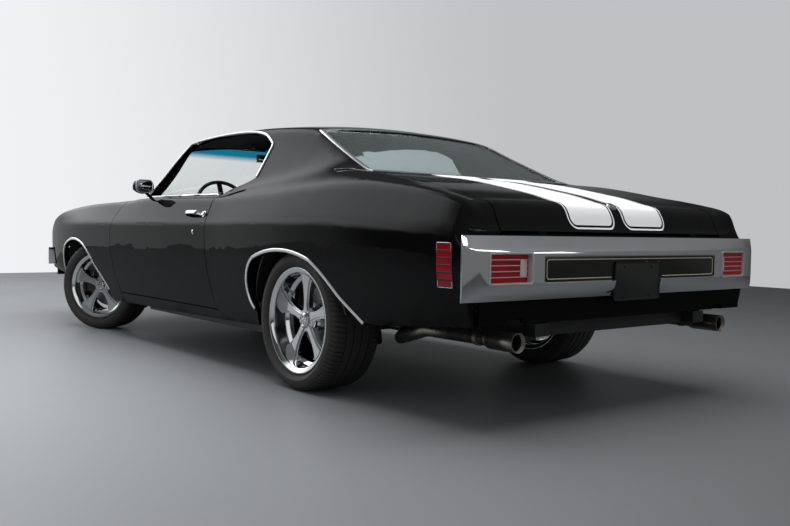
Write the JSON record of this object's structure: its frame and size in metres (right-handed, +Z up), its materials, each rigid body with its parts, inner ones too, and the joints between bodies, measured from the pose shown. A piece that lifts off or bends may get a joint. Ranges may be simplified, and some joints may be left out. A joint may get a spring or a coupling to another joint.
{
  "type": "muscle car",
  "caption": "Black two-door hardtop muscle car of 1970 with white deck stripes, chrome bumpers and five-spoke wheels, front wheels steered left.",
  "frame": {"origin": "on the ground, midway between the two ends and the two sides of the car", "axes": "+X to the car's left, +Y to its rear, +Z up"},
  "size_m": [1.983, 5.009, 1.3362],
  "materials": {
    "paint": "gloss",
    "mirror_paint": "gloss",
    "glass": "clear, faint grey-green",
    "black_trim": "satin black",
    "lamp_glass": "fluted clear",
    "chrome": "bright chrome",
    "wheel_chrome": "bright chrome",
    "red_lens": "ribbed clear red",
    "underbody": "satin chassis black",
    "cast_iron": "dull, machined where it rubs",
    "cast_metal": "as cast",
    "steel": "dark satin",
    "disc_steel": "turned",
    "vinyl": "black vinyl",
    "dash": "grained",
    "tyre": "rubber"
  },
  "bodies": {
    "body": {"fender_left": "paint", "quarter_left": "paint", "fender_right": "paint", "quarter_right": "paint", "rockers": "paint", "roof": "paint", "rear_shelf": "paint", "cowl": "paint", "nose_panel": "paint", "tail_panel": "paint", "rear_valance": "paint", "front_valance": "paint", "windshield": "glass", "rear_window": "glass", "grille_surround": "black_trim", "grille": "black_trim", "headlamps": "lamp_glass", "front_bumper": "chrome", "rear_bumper": "chrome", "tail_lamps": "red_lens", "side_markers": "red_lens", "floor_pan": "underbody", "firewall": "underbody", "frame_rails": "underbody", "rear_wheelhouses": "underbody", "inner_fenders": "underbody", "fuel_tank": "underbody", "engine_block": "cast_iron", "transmission": "cast_metal", "driveshaft": "steel", "rear_axle": "steel", "rear_suspension": "steel", "front_suspension": "steel", "exhaust": "steel", "front_seats": "vinyl", "rear_seat": "vinyl", "dashboard": "dash", "steering_column": "dash", "rear_view_mirror": "chrome"},
    "hood": {"hood": "paint"},
    "trunk_lid": {"trunk_lid": "paint"},
    "door_left": {"door_left": "paint", "door_mirror_left": "mirror_paint"},
    "door_right": {"door_right": "paint", "door_mirror_right": "mirror_paint"},
    "steering_wheel": {"steering_wheel": "dash"},
    "knuckle_left": {"knuckle_left": "cast_iron"},
    "knuckle_right": {"knuckle_right": "cast_iron"},
    "rear_wheel_left": {"rear_tyre_left": "tyre", "rear_rim_left": "wheel_chrome", "rear_disc_left": "disc_steel"},
    "rear_wheel_right": {"rear_tyre_right": "tyre", "rear_rim_right": "wheel_chrome", "rear_disc_right": "disc_steel"},
    "front_wheel_left": {"front_tyre_left": "tyre", "front_rim_left": "wheel_chrome", "front_disc_left": "disc_steel"},
    "front_wheel_right": {"front_tyre_right": "tyre", "front_rim_right": "wheel_chrome", "front_disc_right": "disc_steel"}
  },
  "joints": [
    {"name": "hood_hinge", "type": "hinge", "parent": "body", "child": "hood", "pos_m": [0, -0.972, 0.955], "axis": [-1, 0, 0], "range_deg": [0, 50]},
    {"name": "trunk_hinge", "type": "hinge", "parent": "body", "child": "trunk_lid", "pos_m": [0, 1.637, 1.004], "axis": [1, 0, 0], "range_deg": [0, 60]},
    {"name": "door_hinge_left", "type": "hinge", "parent": "body", "child": "door_left", "pos_m": [0.957, -0.935, 0.6], "axis": [0, 0, -1], "range_deg": [0, 65]},
    {"name": "door_hinge_right", "type": "hinge", "parent": "body", "child": "door_right", "pos_m": [-0.957, -0.935, 0.6], "axis": [0, 0, 1], "range_deg": [0, 65]},
    {"name": "steer_left", "type": "hinge", "parent": "body", "child": "knuckle_left", "pos_m": [0.702, -1.5555, 0.313], "axis": [0, 0, 1], "range_deg": [-64.5, 1.5]},
    {"name": "steer_right", "type": "hinge", "parent": "body", "child": "knuckle_right", "pos_m": [-0.702, -1.5555, 0.313], "axis": [0, 0, 1], "range_deg": [-64.5, 1.5]},
    {"name": "steering_wheel_turn", "type": "hinge", "parent": "body", "child": "steering_wheel", "pos_m": [0.38, -0.43, 0.868], "axis": [0, 0.9063, 0.4226], "range_deg": [-903, 21]},
    {"name": "front_wheel_left_spin", "type": "hinge", "parent": "knuckle_left", "child": "front_wheel_left", "pos_m": [0.75316, -1.52415, 0.313], "axis": [0.8526, 0.5225, 0], "continuous": true},
    {"name": "front_wheel_right_spin", "type": "hinge", "parent": "knuckle_right", "child": "front_wheel_right", "pos_m": [-0.75316, -1.58685, 0.313], "axis": [0.8526, 0.5225, 0], "continuous": true},
    {"name": "rear_wheel_left_spin", "type": "hinge", "parent": "body", "child": "rear_wheel_left", "pos_m": [0.77, 1.2895, 0.323], "axis": [1, 0, 0], "continuous": true},
    {"name": "rear_wheel_right_spin", "type": "hinge", "parent": "body", "child": "rear_wheel_right", "pos_m": [-0.77, 1.2895, 0.323], "axis": [1, 0, 0], "continuous": true}
  ],
  "couplings": [
    {"joint": "steer_right", "follows": "steer_left", "ratio": 1},
    {"joint": "steering_wheel_turn", "follows": "steer_left", "ratio": 14}
  ]
}
